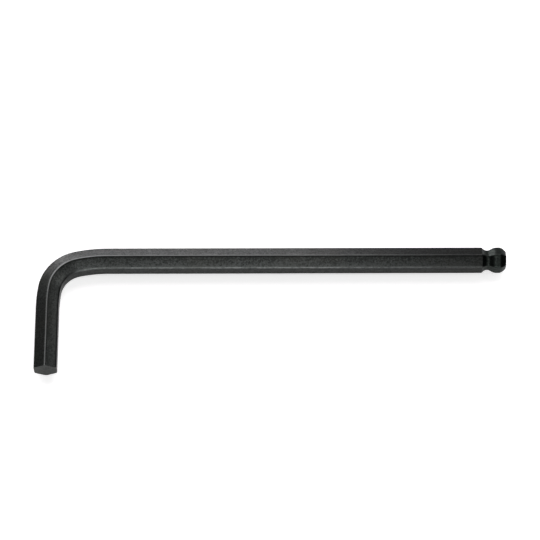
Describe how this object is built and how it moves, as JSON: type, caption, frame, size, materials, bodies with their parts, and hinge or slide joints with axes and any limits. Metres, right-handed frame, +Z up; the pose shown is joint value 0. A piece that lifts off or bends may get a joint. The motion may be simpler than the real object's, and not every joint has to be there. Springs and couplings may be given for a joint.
{
  "type": "ball-end hex key",
  "caption": "L-shaped hex key of blackened steel for hexagon socket screws: a bent hexagonal bar with a ball end on the long arm and a flat, chamfered end on the short arm.",
  "frame": {"origin": "under the middle of the key's bounding box, on the surface that it lies on", "axes": "+X along the long arm towards the ball end, -Y along the short arm towards its cut end, +Z up, square to the plane of the two arms"},
  "size_m": [0.1454, 0.0402, 0.0079],
  "materials": {
    "blackened_steel": "satin"
  },
  "bodies": {
    "root": {"hex_key": "blackened_steel"}
  },
  "joints": []
}
